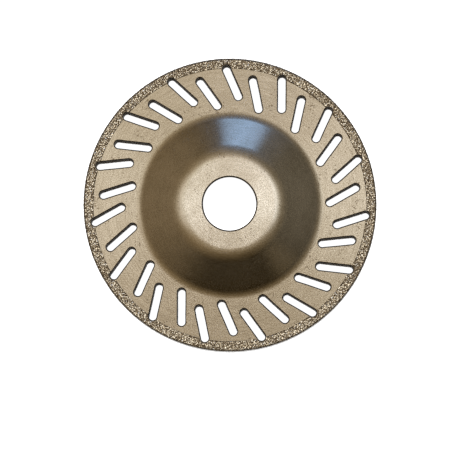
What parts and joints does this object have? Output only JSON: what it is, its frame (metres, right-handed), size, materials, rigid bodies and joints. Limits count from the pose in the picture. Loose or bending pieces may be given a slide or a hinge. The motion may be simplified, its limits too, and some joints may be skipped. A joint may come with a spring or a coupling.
{
  "type": "angle grinder carving disc",
  "caption": "Slotted steel carving disc for an angle grinder, with a raised hub, a plain arbor bore and a rim plated with coarse diamond grit.",
  "frame": {"origin": "on the disc's axis, level with the lowest face of the coated rim", "axes": "+Z along the axis towards the raised hub; +Y through the middle of one slot of the outer row"},
  "size_m": [0.125, 0.125, 0.0127],
  "materials": {
    "plated_steel": "satin warm nickel plating over pressed steel",
    "nickel_bond": "matte, lumpy plated bond",
    "diamond_grit": "coarse tan and grey crystals"
  },
  "bodies": {
    "root": {"disc_body": "plated_steel", "nickel_bond": "nickel_bond", "diamond_grit_upper": "diamond_grit", "diamond_grit_edge": "diamond_grit", "diamond_grit_lower": "diamond_grit"}
  },
  "joints": []
}
